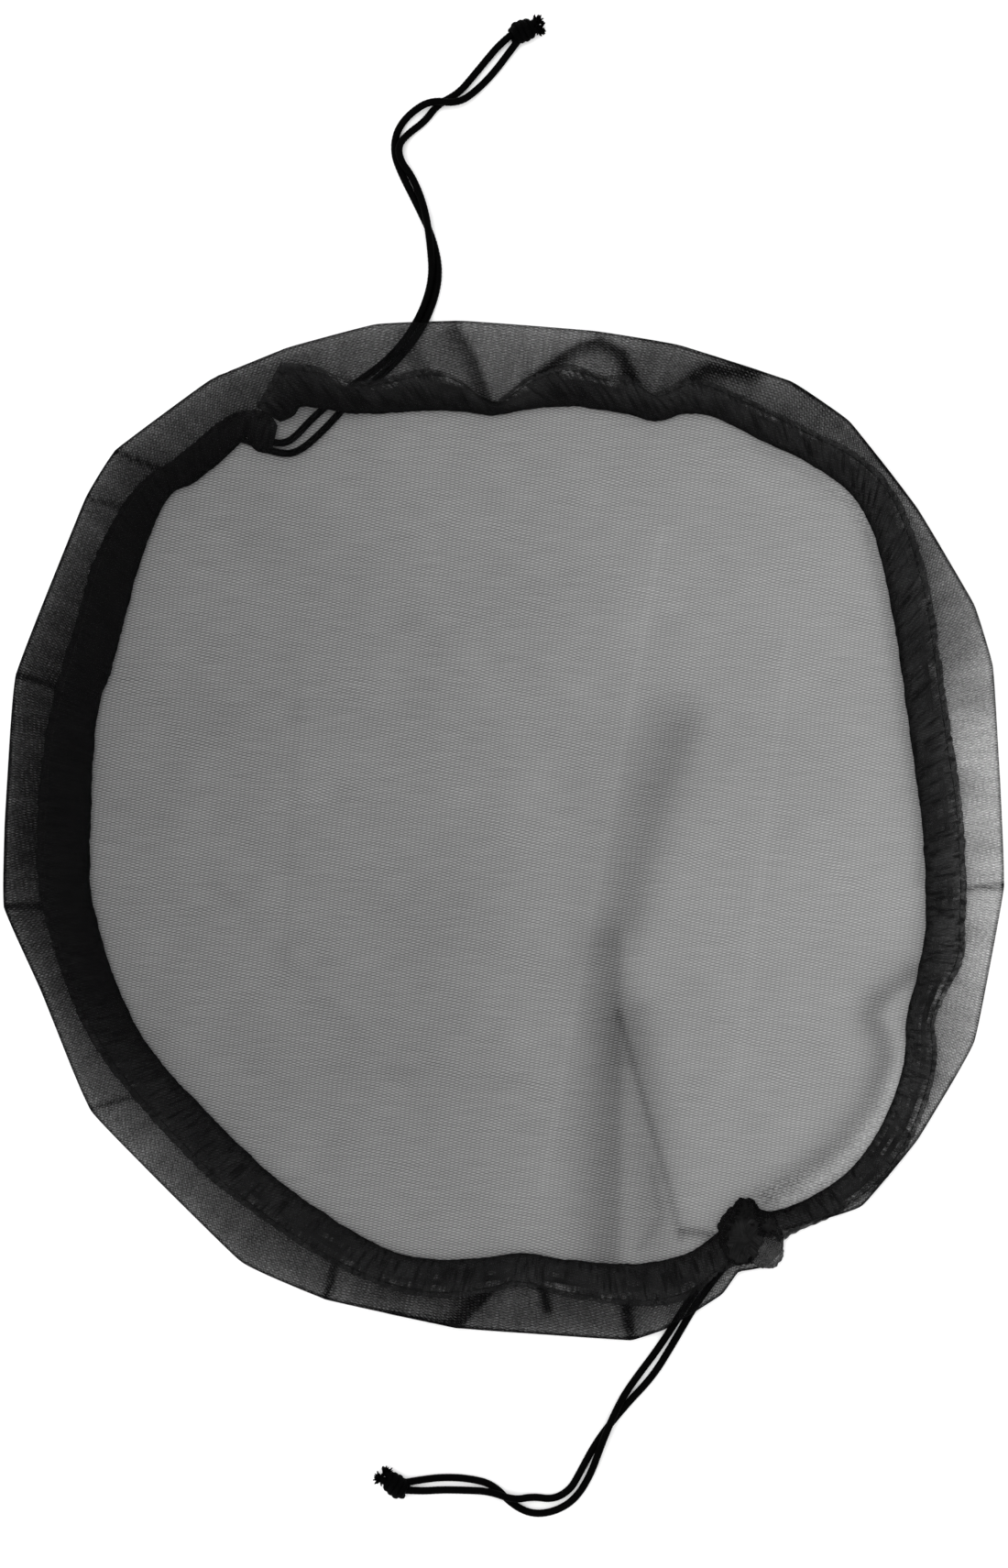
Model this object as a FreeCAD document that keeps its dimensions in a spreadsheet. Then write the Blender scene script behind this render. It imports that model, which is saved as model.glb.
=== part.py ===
import FreeCAD, Part
import math
import os
import Sketcher

# A round net hood that lies flat, mouth down. A crown of net is turned under at the rim into a
# skirt, and the skirt ends in two gathered hem casings. A doubled drawcord runs through each
# casing: its fold is tacked at the casing's blind end, and its two strands come out of the open
# end, lie on the floor and are tied in a knot.
# Origin: on the floor, in the middle of the net. +Z is up.

SIZES = [
    # alias, value in mm or degrees
    ("mouth_radius", "197.5"),  # middle of the casings
    ("casing_width", "18"),
    ("casing_wall", "0.5"),
    ("cord_diameter", "3"),
    ("cord_clearance", "0.3"),  # over, under and round a cord
    ("lane_offset", "4"),  # a strand's place each side of the casing's middle
    ("skirt_width", "19.5"),  # from the casing to the rim
    ("net_thickness", "0.5"),
    ("fold_edge", "0.8"),  # height of the rim's folded edge
    ("fold_width", "14"),  # from the rim in to where the crown lies level
    ("crown_gap", "0.5"),  # from the raised casing to the crown
    ("crown_rise", "2.3"),
    ("right_start", "-41"),  # where each casing's arc leaves its straight open end
    ("left_start", "130"),
    ("right_straight", "54"),
    ("left_straight", "30"),
    ("right_hold", "26"),  # each doubled cord reaches this far into its casing's straight end
    ("left_hold", "4"),
    ("right_feed", "60"),  # each strand goes on, straight, to this far from the arc
    ("left_feed", "40"),
    ("right_arc", "142.5"),
    ("left_arc", "165"),
    ("ramp_arc", "4.5"),  # the right casing climbs here
    ("raised_arc", "10.5"),  # and lies over the left cord here
    ("right_fold", "140"),  # where each doubled cord turns back
    ("left_fold", "161"),
    ("thread_width", "0.5"),
    ("thread_height", "0.3"),
    ("thread_inset", "2"),  # from the casing's outer side to its hem stitching
    ("tack_length", "12"),
    ("tack_width", "2"),
    ("tack_height", "0.4"),
    ("tack_inset", "3"),  # from the casing's open end
    ("knot_length", "11"),
    ("knot_width", "10.4"),
    ("knot_height", "8"),
    ("end_length", "9.5"),  # of a cut end, from the middle of its knot
    ("end_spread", "14"),  # angle of each cut end from the line of the pair
]

# Heights that follow from the sizes above.
DERIVED = [
    ("casing_height", "=cord_diameter + 2 * casing_wall + 2 * cord_clearance"),
    ("cord_level", "=casing_height / 2"),
    ("clear_level", "=cord_level + cord_diameter / 2 + cord_clearance"),
    ("crown_edge_level", "=clear_level + casing_height + crown_gap"),
    ("skirt_inner", "=mouth_radius + casing_width / 2"),
    ("rim_radius", "=skirt_inner + skirt_width"),
    ("crown_radius", "=rim_radius - fold_width"),
]

# Routes of the four free strands, from just past the casing's open end to the knot. Each point
# is x, y and ride: how high the strand lies over the floor, in its own diameters.
TOP_OUTER = [
    (-72.0, 199.5, 0), (-50.0, 212.5, 0), (-38.0, 229.0, 0), (-31.8, 247.5, 0),
    (-33.0, 264.0, 1.2), (-35.5, 280.0, 1.2), (-41.6, 295.5, 0), (-45.8, 304.0, 0),
    (-43.0, 312.5, 0), (-35.5, 319.0, 0), (-30.0, 326.5, 0), (-20.5, 331.5, 0),
    (-14.5, 338.5, 0), (-7.5, 347.0, 0), (-1.5, 354.0, 0.2), (3.8, 358.0, 0.5),
]
TOP_INNER = [
    (-67.5, 193.5, 0), (-45.5, 208.5, 0), (-33.0, 229.0, 0), (-27.6, 248.0, 0),
    (-31.5, 265.5, 0), (-39.8, 283.0, 0), (-46.2, 295.5, 0), (-49.6, 304.5, 0),
    (-48.5, 314.0, 0), (-43.0, 322.0, 0), (-33.0, 328.0, 1.2), (-20.5, 326.3, 1.2),
    (-11.5, 333.5, 0), (-3.6, 342.0, 0), (2.2, 349.8, 0.1), (6.6, 355.4, 0.5),
]
BOTTOM_OUTER = [
    (88.5, -207.0, 0), (75.5, -230.5, 0), (66.5, -244.5, 0), (54.5, -257.0, 0),
    (42.0, -272.5, 0), (34.2, -287.0, 0), (29.8, -295.0, 0), (22.0, -299.4, 0),
    (13.0, -298.0, 0), (4.5, -299.0, 1.2), (-6.5, -295.0, 1.2), (-17.0, -295.2, 0),
    (-28.0, -295.0, 0), (-37.0, -295.6, 0.1), (-44.5, -294.9, 0.5),
]
BOTTOM_INNER = [
    (82.0, -203.5, 0), (68.5, -228.0, 0), (56.0, -249.0, 0), (50.0, -259.0, 1.3),
    (44.0, -273.0, 1.3), (38.8, -288.5, 0), (31.8, -299.5, 0), (22.5, -304.9, 0),
    (12.5, -306.0, 0), (3.5, -301.5, 0), (-5.0, -292.5, 0), (-15.5, -289.9, 0),
    (-27.0, -289.3, 0), (-37.0, -290.4, 0.1), (-44.5, -291.5, 0.5),
]
# Where each casing's straight end began when these routes were laid. They move with it.
TOP_LAID_FROM = FreeCAD.Vector(-126.95, 151.29, 0)
BOTTOM_LAID_FROM = FreeCAD.Vector(149.05, -129.57, 0)
# The middle of each knot, and the direction in which its cut ends point.
TOP_KNOT = FreeCAD.Vector(8.0, 359.0, 0)
TOP_ENDS_POINT = 20.0
BOTTOM_KNOT = FreeCAD.Vector(-48.0, -293.0, 0)
BOTTOM_ENDS_POINT = 142.0

ARC_SHARE = 0.45  # of the shorter run beside a point, taken up by the point's arc

doc = FreeCAD.newDocument("net_hood")
sheet = doc.addObject("Spreadsheet::Sheet", "Sheet")
for row, (alias, value) in enumerate(SIZES + DERIVED, start=1):
    sheet.set("A%d" % row, value)
    sheet.setAlias("A%d" % row, alias)
doc.recompute()

nodes = []


def size(alias):
    return float(sheet.get(alias))


def bind(thing, **formulas):
    """Ties properties to the sheet. A double underscore in a name stands for a dot."""
    for name, formula in formulas.items():
        path = name.replace("__", ".")
        if path.startswith("Placement") or path.startswith("AttachmentOffset"):
            path = "." + path
        thing.setExpression(path, formula)


def keep(thing, label):
    """Makes an object one of the hood's sub-parts."""
    thing.Label = label
    nodes.append(thing)
    return thing


def new_body(label):
    body = doc.addObject("PartDesign::Body", label)
    return keep(body, label)


def origin_plane(body, role):
    return next(item for item in body.Origin.OriginFeatures if item.Role == role)


def new_sketch(body, name, role="XZ_Plane"):
    sketch = body.newObject("Sketcher::SketchObject", name)
    sketch.AttachmentSupport = [(origin_plane(body, role), "")]
    sketch.MapMode = "FlatFace"
    return sketch


def outline(sketch, corners):
    """A closed outline of straight sides. Each corner is a pair of formulas, for x and for y."""
    values = [
        FreeCAD.Vector(sheet_value(across), sheet_value(up), 0) for across, up in corners
    ]
    count = len(corners)
    first = sketch.GeometryCount
    for index in range(count):
        sketch.addGeometry(Part.LineSegment(values[index], values[(index + 1) % count]), False)
    for index in range(count):
        this, following = first + index, first + (index + 1) % count
        sketch.addConstraint(Sketcher.Constraint("Coincident", this, 2, following, 1))
    for index, (across, up) in enumerate(corners):
        pin(sketch, first + index, 1, across, up)


def pin(sketch, line, point, across, up):
    """Holds a point of a line at the x and y that two formulas give."""
    for kind, formula in (("DistanceX", across), ("DistanceY", up)):
        value = sheet_value(formula)
        number = sketch.addConstraint(Sketcher.Constraint(kind, -1, 1, line, point, value))
        sketch.setExpression("Constraints[%d]" % number, formula)


def sheet_value(formula):
    """The number that a formula on the sheet's cells gives."""
    return float(sheet.evalExpression(formula))


def revolve(body, name, sketch, angle):
    feature = body.newObject("PartDesign::Revolution", name)
    feature.Profile = (sketch, [""])
    feature.ReferenceAxis = (sketch, ["V_Axis"])
    bind(feature, Angle=angle)
    return feature


def pad(body, name, sketch, length):
    feature = body.newObject("PartDesign::Pad", name)
    feature.Profile = (sketch, [""])
    bind(feature, Length=length)
    return feature


def ring_place(body, start):
    """Turns a body about the hood's axis, so that its arc begins at the angle that start gives."""
    body.Placement = FreeCAD.Placement(FreeCAD.Vector(), FreeCAD.Rotation(FreeCAD.Vector(0, 0, 1), 0))
    bind(body, Placement__Rotation__Angle=start)


# ---- the two casings: a flat tunnel of gathered net, 1.2 m round in all ----

HALF = "<<Sheet>>.casing_width / 2"
MIDDLE = "<<Sheet>>.mouth_radius"
WALL = "<<Sheet>>.casing_wall"
TALL = "<<Sheet>>.casing_height"


def tunnel_section(body, name, angle="0", lift="0"):
    """The casing's section: a flat tube, turned about the axis and lifted."""
    sketch = new_sketch(body, name)
    sketch.AttachmentOffset = FreeCAD.Placement(
        FreeCAD.Vector(), FreeCAD.Rotation(FreeCAD.Vector(0, 1, 0), 0)
    )
    bind(sketch, AttachmentOffset__Rotation__Angle=angle, AttachmentOffset__Base__y=lift)
    for gap in ("0", WALL):
        left = "%s - %s + %s" % (MIDDLE, HALF, gap)
        right = "%s + %s - %s" % (MIDDLE, HALF, gap)
        low = "%s" % gap
        high = "%s - %s" % (TALL, gap)
        outline(sketch, [(left, low), (right, low), (right, high), (left, high)])
    return sketch


def casing(label, start, arc, straight):
    body = new_body(label)
    section = tunnel_section(body, label + "_section")
    revolve(body, label + "_arc", section, arc)
    pad(body, label + "_end", section, straight)
    ring_place(body, start)
    return body


right = casing(
    "casing_right", "<<Sheet>>.right_start", "<<Sheet>>.right_arc", "<<Sheet>>.right_straight"
)
left = casing(
    "casing_left", "<<Sheet>>.left_start", "<<Sheet>>.left_arc", "<<Sheet>>.left_straight"
)

# The right casing's blind end climbs over the left casing's cord.
ramp_foot = tunnel_section(right, "ramp_foot", "<<Sheet>>.right_arc")
ramp_head = tunnel_section(
    right, "ramp_head", "<<Sheet>>.right_arc + <<Sheet>>.ramp_arc", "<<Sheet>>.clear_level"
)
ramp = right.newObject("PartDesign::AdditiveLoft", "ramp")
ramp.Profile = ramp_foot
ramp.Sections = [(ramp_head, [""])]
ramp.Ruled = True
revolve(right, "raised_end", ramp_head, "<<Sheet>>.raised_arc")


# ---- hem stitching: one row of thread along the top of each casing ----

def hem_stitching(label, start, arc, straight):
    body = new_body(label)
    sketch = new_sketch(body, label + "_section")
    outer = "%s + %s - <<Sheet>>.thread_inset" % (MIDDLE, HALF)
    inner = outer + " - <<Sheet>>.thread_width"
    top = TALL + " + <<Sheet>>.thread_height"
    outline(sketch, [(inner, TALL), (outer, TALL), (outer, top), (inner, top)])
    revolve(body, label + "_arc", sketch, arc)
    pad(body, label + "_end", sketch, straight)
    ring_place(body, start)


hem_stitching(
    "hem_thread_right", "<<Sheet>>.right_start", "<<Sheet>>.right_arc", "<<Sheet>>.right_straight"
)
hem_stitching(
    "hem_thread_left", "<<Sheet>>.left_start", "<<Sheet>>.left_arc", "<<Sheet>>.left_straight"
)


def turned(part, angle, across, along, up):
    """Places a part at across and along in a frame turned by angle about the hood's axis."""
    values = {"angle": "(%s) * 1deg" % angle, "across": across, "along": along}
    part.Placement = FreeCAD.Placement(
        FreeCAD.Vector(), FreeCAD.Rotation(FreeCAD.Vector(0, 0, 1), 0)
    )
    bind(
        part,
        Placement__Rotation__Angle=angle,
        Placement__Base__x="({across}) * cos({angle}) - ({along}) * sin({angle})".format(**values),
        Placement__Base__y="({across}) * sin({angle}) + ({along}) * cos({angle})".format(**values),
        Placement__Base__z=up,
    )


# ---- the net: a level crown, and a skirt that starts with the rim's fold ----

def crown_net():
    body = new_body("crown_net")
    sketch = new_sketch(body, "crown_section")
    edge = "<<Sheet>>.crown_radius"
    low = "<<Sheet>>.crown_edge_level"
    rise = "<<Sheet>>.crown_rise"
    thick = "<<Sheet>>.net_thickness"
    radius = sheet_value(edge)
    height = sheet_value(rise)
    dome = (radius**2 + height**2) / (2 * height)
    centre = FreeCAD.Vector(0, sheet_value(low) + height - dome, 0)
    up = FreeCAD.Vector(0, 0, 1)
    lean = math.asin(radius / dome)
    skin = sheet_value(thick)
    outer_lean = math.asin(radius / (dome + skin))
    for reach, angle in ((dome, lean), (dome + skin, outer_lean)):
        circle = Part.Circle(centre, up, reach)
        arc = Part.ArcOfCircle(circle, math.pi / 2 - angle, math.pi / 2)
        sketch.addGeometry(arc, False)
    under, over = 0, 1
    axis_top = FreeCAD.Vector(0, sheet_value(low) + height, 0)
    over_top = axis_top + FreeCAD.Vector(0, skin, 0)
    axis_line = sketch.addGeometry(Part.LineSegment(axis_top, over_top), False)
    edge_line = sketch.addGeometry(
        Part.LineSegment(sketch.Geometry[under].StartPoint, sketch.Geometry[over].StartPoint), False
    )
    start, end, middle = 1, 2, 3
    join = Sketcher.Constraint
    sketch.addConstraint(join("Coincident", axis_line, start, under, end))
    sketch.addConstraint(join("Coincident", axis_line, end, over, end))
    sketch.addConstraint(join("Coincident", edge_line, start, under, start))
    sketch.addConstraint(join("Coincident", edge_line, end, over, start))
    sketch.addConstraint(join("Coincident", under, middle, over, middle))
    sketch.addConstraint(join("PointOnObject", under, middle, -2))
    sketch.addConstraint(join("Vertical", edge_line))
    pin(sketch, under, start, edge, low)
    pin(sketch, axis_line, start, "0", low + " + " + rise)
    top = sketch.addConstraint(join("DistanceY", -1, 1, axis_line, end, over_top.y))
    sketch.setExpression("Constraints[%d]" % top, low + " + " + rise + " + " + thick)
    revolve(body, "crown_dome", sketch, "360")
    return body


def skirt_net():
    """The fold and the skirt, made as one ring and cut clear of the casings' straight ends."""
    ring = doc.addObject("PartDesign::Body", "skirt_ring")
    sketch = new_sketch(ring, "skirt_section")
    thick = "<<Sheet>>.net_thickness"
    inner = "<<Sheet>>.skirt_inner"
    rim = "<<Sheet>>.rim_radius"
    low = "<<Sheet>>.clear_level"
    edge = "<<Sheet>>.crown_radius"
    level = "<<Sheet>>.crown_edge_level"
    corners = [
        (inner, low),
        (rim, low),
        (rim, low + " + <<Sheet>>.fold_edge"),
        (edge, level + " + " + thick),
        (edge, level),
        (rim + " - " + thick, low + " + " + thick),
        (inner, low + " + " + thick),
    ]
    outline(sketch, corners)
    revolve(ring, "skirt_turn", sketch, "360")
    cut = ring
    for side in ("right", "left"):
        straight = "<<Sheet>>.%s_straight" % side
        block = doc.addObject("Part::Box", "%s_end_block" % side)
        bind(block, Length="<<Sheet>>.casing_width", Width=straight, Height=TALL)
        turned(block, "<<Sheet>>.%s_start" % side, "%s - %s" % (MIDDLE, HALF), "-" + straight, "0")
        trimmed = doc.addObject("Part::Cut", "skirt_without_%s_end" % side)
        trimmed.Base = cut
        trimmed.Tool = block
        cut = trimmed
    return keep(cut, "skirt_net")


crown_net()
skirt_net()


# ---- drawcords: each is doubled, and its fold hooks round a tack ----

def cord_lane(side, name, reach, level):
    """One lane of a doubled cord: an arc, and the stretch before it in the straight end."""
    body = doc.addObject("PartDesign::Body", "%s_cord_%s" % (side, name))
    sketch = new_sketch(body, "%s_%s_section" % (side, name))
    thick = size("cord_diameter")
    middle = FreeCAD.Vector(sheet_value(reach), sheet_value(level), 0)
    up = FreeCAD.Vector(0, 0, 1)
    circle = sketch.addGeometry(Part.Circle(middle, up, thick / 2), False)
    centre = 3
    pin(sketch, circle, centre, reach, level)
    width = sketch.addConstraint(Sketcher.Constraint("Diameter", circle, thick))
    sketch.setExpression("Constraints[%d]" % width, "<<Sheet>>.cord_diameter")
    revolve(body, "%s_%s_arc" % (side, name), sketch, "<<Sheet>>.%s_fold" % side)
    pad(body, "%s_%s_end" % (side, name), sketch, "<<Sheet>>.%s_hold" % side)
    ring_place(body, "<<Sheet>>.%s_start" % side)
    return body


def drawcord(side):
    lane = "<<Sheet>>.lane_offset"
    level = "<<Sheet>>.cord_level"
    outer = cord_lane(side, "outer", "%s + %s" % (MIDDLE, lane), level)
    inner = cord_lane(side, "inner", "%s - %s" % (MIDDLE, lane), level)
    fold = doc.addObject("Part::Torus", "%s_cord_fold" % side)
    bind(fold, Radius1=lane, Radius2="<<Sheet>>.cord_diameter / 2", Angle3="180")
    turned(fold, "<<Sheet>>.{0}_start + <<Sheet>>.{0}_fold".format(side), MIDDLE, "0", level)
    cord = doc.addObject("Part::MultiFuse", "drawcord_" + side)
    cord.Shapes = [outer, inner, fold]
    return keep(cord, "drawcord_" + side)


def fold_tack(side):
    """A post of thread between the casing's floor and roof, inside the cord's fold."""
    tack = doc.addObject("Part::Cylinder", "fold_tack_" + side)
    bind(
        tack,
        Radius="<<Sheet>>.lane_offset - <<Sheet>>.cord_diameter / 2",
        Height="<<Sheet>>.casing_height - 2 * <<Sheet>>.casing_wall",
    )
    turned(
        tack, "<<Sheet>>.{0}_start + <<Sheet>>.{0}_fold".format(side), MIDDLE, "0", WALL
    )
    return keep(tack, "fold_tack_" + side)


def end_tack(side):
    """A bar of thread across the casing's open end, on its top."""
    tack = doc.addObject("Part::Box", "end_tack_" + side)
    bind(
        tack,
        Length="<<Sheet>>.tack_length",
        Width="<<Sheet>>.tack_width",
        Height="<<Sheet>>.tack_height",
    )
    turned(
        tack,
        "<<Sheet>>.%s_start" % side,
        "%s - <<Sheet>>.tack_length / 2 - <<Sheet>>.thread_inset" % MIDDLE,
        "<<Sheet>>.tack_inset - <<Sheet>>.%s_straight" % side,
        TALL,
    )
    return keep(tack, "end_tack_" + side)


for side in ("right", "left"):
    drawcord(side)
    fold_tack(side)
    end_tack(side)


# ---- the free strands ----

def cord_path(points):
    """Straight runs joined by tangent arcs, each as large as its two runs allow."""
    edges, radii, here = [], [], points[0]
    for before, corner, after in zip(points, points[1:], points[2:]):
        back, ahead = before - corner, after - corner
        shorter = min(back.Length, ahead.Length)
        half_turn = (math.pi - back.getAngle(ahead)) / 2
        back.normalize()
        ahead.normalize()
        trim = ARC_SHARE * shorter
        radius = trim / math.tan(half_turn)
        leave = corner + back * trim
        rejoin = corner + ahead * trim
        inward = back + ahead
        inward.normalize()
        deepest = corner + inward * (radius / math.cos(half_turn) - radius)
        edges.append(Part.LineSegment(here, leave).toShape())
        edges.append(Part.Arc(leave, deepest, rejoin).toShape())
        radii.append(radius)
        here = rejoin
    edges.append(Part.LineSegment(here, points[-1]).toShape())
    return Part.Wire(edges), radii


def casing_start(side, lane):
    """Where a casing's straight end begins, lane being the offset from the casing's middle."""
    angle = math.radians(size(side + "_start"))
    reach = size("mouth_radius") + lane
    return FreeCAD.Vector(reach * math.cos(angle), reach * math.sin(angle), 0)


def pull(side):
    """The direction in which a cord leaves its casing."""
    angle = math.radians(size(side + "_start"))
    return FreeCAD.Vector(math.sin(angle), -math.cos(angle), 0)


def strand(label, side, lane, route, shift):
    """A strand's tube, from the end of its drawcord, through the casing's end, to the knot."""
    thick = size("cord_diameter")
    hold, feed = size(side + "_hold"), size(side + "_feed")
    start = casing_start(side, lane) + FreeCAD.Vector(0, 0, size("cord_level"))
    start += pull(side) * hold
    points = [start, start + pull(side) * (feed - hold)]
    for across, along, ride in route:
        points.append(FreeCAD.Vector(across, along, (ride + 0.5) * thick) + shift)
    path, radii = cord_path([point - start for point in points])
    face = Part.Circle(FreeCAD.Vector(), pull(side), thick / 2)
    tube = path.makePipeShell([Part.Wire(face.toShape())], True, False)
    section = math.pi * thick**2 / 4
    print(
        "%s: length %.1f, smallest radius %.1f, volume %.4f of section times length"
        % (label, path.Length, min(radii), tube.Volume / (section * path.Length))
    )
    feature = doc.addObject("Part::Feature", label)
    feature.Shape = tube
    feature.Placement = FreeCAD.Placement(start, FreeCAD.Rotation())
    return keep(feature, label)


def knot(prefix, middle, ends_point, strands, shift):
    """The knot round both strands, and the two short ends that leave it."""
    ball = doc.addObject("Part::Ellipsoid", prefix + "_ball")
    bind(
        ball,
        Radius1="<<Sheet>>.knot_height / 2",
        Radius2="<<Sheet>>.knot_length / 2",
        Radius3="<<Sheet>>.knot_width / 2",
    )
    place = middle + shift + FreeCAD.Vector(0, 0, size("knot_height") / 2)
    ball.Placement = FreeCAD.Placement(place, FreeCAD.Rotation(FreeCAD.Vector(0, 0, 1), ends_point))
    tied = doc.addObject("Part::Cut", prefix + "_knot")
    tied.Base = ball
    hidden = doc.addObject("Part::MultiFuse", prefix + "_hidden_strands")
    hidden.Shapes = strands
    tied.Tool = hidden
    stubs = []
    for turn in (-1, 1):
        stub = doc.addObject("Part::Cylinder", "%s_stub_%d" % (prefix, turn + 2))
        bind(stub, Radius="<<Sheet>>.cord_diameter / 2", Height="<<Sheet>>.end_length")
        heading = math.radians(ends_point + turn * size("end_spread"))
        direction = FreeCAD.Vector(math.cos(heading), math.sin(heading), 0)
        aside = FreeCAD.Vector(-math.sin(heading), math.cos(heading), 0)
        gap = size("cord_diameter") / 2 + size("cord_clearance")
        stub.Placement = FreeCAD.Placement(
            place + aside * turn * gap, FreeCAD.Rotation(FreeCAD.Vector(0, 0, 1), direction)
        )
        stubs.append(stub)
    both = doc.addObject("Part::MultiFuse", prefix + "_both_stubs")
    both.Shapes = stubs
    ends = doc.addObject("Part::Cut", prefix + "_cut_ends")
    ends.Base = both
    ends.Tool = ball
    keep(tied, prefix + "_knot")
    keep(ends, prefix + "_cut_ends")


def tail(prefix, side, laid_from, outer, inner, middle, ends_point):
    """The pair of strands that leaves a casing, and their knot."""
    lane = size("lane_offset")
    shift = casing_start(side, 0) - laid_from
    strands = [
        strand(prefix + "_strand_outer", side, lane, outer, shift),
        strand(prefix + "_strand_inner", side, -lane, inner, shift),
    ]
    knot(prefix, middle, ends_point, strands, shift)


tail("top", "left", TOP_LAID_FROM, TOP_OUTER, TOP_INNER, TOP_KNOT, TOP_ENDS_POINT)
tail(
    "bottom", "right", BOTTOM_LAID_FROM, BOTTOM_OUTER, BOTTOM_INNER, BOTTOM_KNOT, BOTTOM_ENDS_POINT
)

doc.recompute()

for thing in doc.Objects:
    if "Invalid" in thing.State or "Error" in thing.State:
        raise RuntimeError("%s did not recompute: %s" % (thing.Name, thing.State))
os.makedirs("parts", exist_ok=True)
for thing in nodes:
    shape = thing.Shape
    if shape.isNull() or not shape.isValid():
        raise RuntimeError("%s has no valid shape" % thing.Label)
    box = shape.BoundBox
    print(
        "%-20s %3d solids %10.1f mm3  x %7.1f %7.1f  y %7.1f %7.1f  z %5.2f %5.2f"
        % (thing.Label, len(shape.Solids), shape.Volume, box.XMin, box.XMax, box.YMin, box.YMax,
           box.ZMin, box.ZMax)
    )
    shape.exportStep("parts/%s.step" % thing.Label)
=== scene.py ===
import math
import random

import bmesh
import bpy
import numpy as np
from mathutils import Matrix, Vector, noise


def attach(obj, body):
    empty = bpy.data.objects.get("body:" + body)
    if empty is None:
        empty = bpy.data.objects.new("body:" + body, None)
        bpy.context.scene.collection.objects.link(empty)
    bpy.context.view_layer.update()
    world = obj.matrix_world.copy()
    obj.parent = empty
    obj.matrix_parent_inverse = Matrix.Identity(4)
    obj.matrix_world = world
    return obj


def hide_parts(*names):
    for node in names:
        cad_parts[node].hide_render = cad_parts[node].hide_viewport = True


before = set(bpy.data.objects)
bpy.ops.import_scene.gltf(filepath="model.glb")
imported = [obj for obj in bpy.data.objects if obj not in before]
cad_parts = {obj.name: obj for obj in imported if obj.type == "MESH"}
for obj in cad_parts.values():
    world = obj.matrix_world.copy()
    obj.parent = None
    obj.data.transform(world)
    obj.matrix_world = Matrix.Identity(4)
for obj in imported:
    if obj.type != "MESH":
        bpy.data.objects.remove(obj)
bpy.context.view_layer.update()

# ---- Camera, floor and light ----
# The hood is laid out flat on a white table and looked at from straight above. A broad white
# ceiling light, a little to the left, gives it hardly any shadow.

MM = 0.001
VIEW_CENTRE = (0.0, 21.7 * MM)
VIEW_HEIGHT = 1.663
LENS = 85.0

camera_data = bpy.data.cameras.new("camera")
camera_data.lens = LENS
camera = bpy.data.objects.new("camera", camera_data)
camera.location = (*VIEW_CENTRE, VIEW_HEIGHT)
bpy.context.scene.collection.objects.link(camera)
bpy.context.scene.camera = camera
bpy.context.scene.view_settings.view_transform = "Standard"


def new_material(name):
    """An empty material, with its nodes, its links and its shader."""
    material = bpy.data.materials.new(name)
    material.use_nodes = True
    nodes, links = material.node_tree.nodes, material.node_tree.links
    return material, nodes, links, nodes["Principled BSDF"]


def add_node(nodes, kind, **values):
    """A node. Values named input_N go on its sockets, and the others are its settings."""
    node = nodes.new(kind)
    for name, value in values.items():
        if name.startswith("input_"):
            node.inputs[int(name[6:])].default_value = value
        else:
            setattr(node, name, value)
    return node


def table_paper():
    """Matt white paper with a very faint grain."""
    material, nodes, links, shader = new_material("table_paper")
    place = add_node(nodes, "ShaderNodeTexCoord")
    grain = add_node(nodes, "ShaderNodeTexNoise", input_2=900.0, input_3=3.0)
    links.new(place.outputs["Object"], grain.inputs["Vector"])
    tint = add_node(nodes, "ShaderNodeValToRGB")
    tint.color_ramp.elements[0].color = (0.95, 0.95, 0.95, 1)
    tint.color_ramp.elements[1].color = (0.97, 0.97, 0.97, 1)
    links.new(grain.outputs["Fac"], tint.inputs["Fac"])
    links.new(tint.outputs["Color"], shader.inputs["Base Color"])
    shader.inputs["Roughness"].default_value = 0.9
    return material


bm = bmesh.new()
bmesh.ops.create_grid(bm, x_segments=2, y_segments=2, size=4.0)
floor_mesh = bpy.data.meshes.new("table")
bm.to_mesh(floor_mesh)
bm.free()
floor = bpy.data.objects.new("table", floor_mesh)
bpy.context.scene.collection.objects.link(floor)
floor_mesh.materials.append(table_paper())

world = bpy.data.worlds.new("studio")
world.use_nodes = True
world.node_tree.nodes["Background"].inputs["Color"].default_value = (1, 1, 1, 1)
world.node_tree.nodes["Background"].inputs["Strength"].default_value = 1.06
bpy.context.scene.world = world

lamp_data = bpy.data.lights.new("ceiling_light", "AREA")
lamp_data.shape = "RECTANGLE"
lamp_data.size = 2.4
lamp_data.size_y = 2.4
lamp_data.energy = 40.0
lamp = bpy.data.objects.new("ceiling_light", lamp_data)
lamp.location = (-0.5, 0.3, 2.6)
lamp.rotation_euler = (Vector((0, 0, 0)) - lamp.location).to_track_quat("-Z", "Y").to_euler()
bpy.context.scene.collection.objects.link(lamp)


# ---- Free strands of the drawcords ----
# Round black polyester cord, 3 mm thick, plaited from sixteen carriers. Each drawcord is
# doubled, so two strands leave each casing. They lie on the table and cross now and then.

# Sizes and places are in millimetres from here on.
CORD = 3.0
PROUD = 0.25  # the carriers stand this much proud of the cord's size

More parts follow.
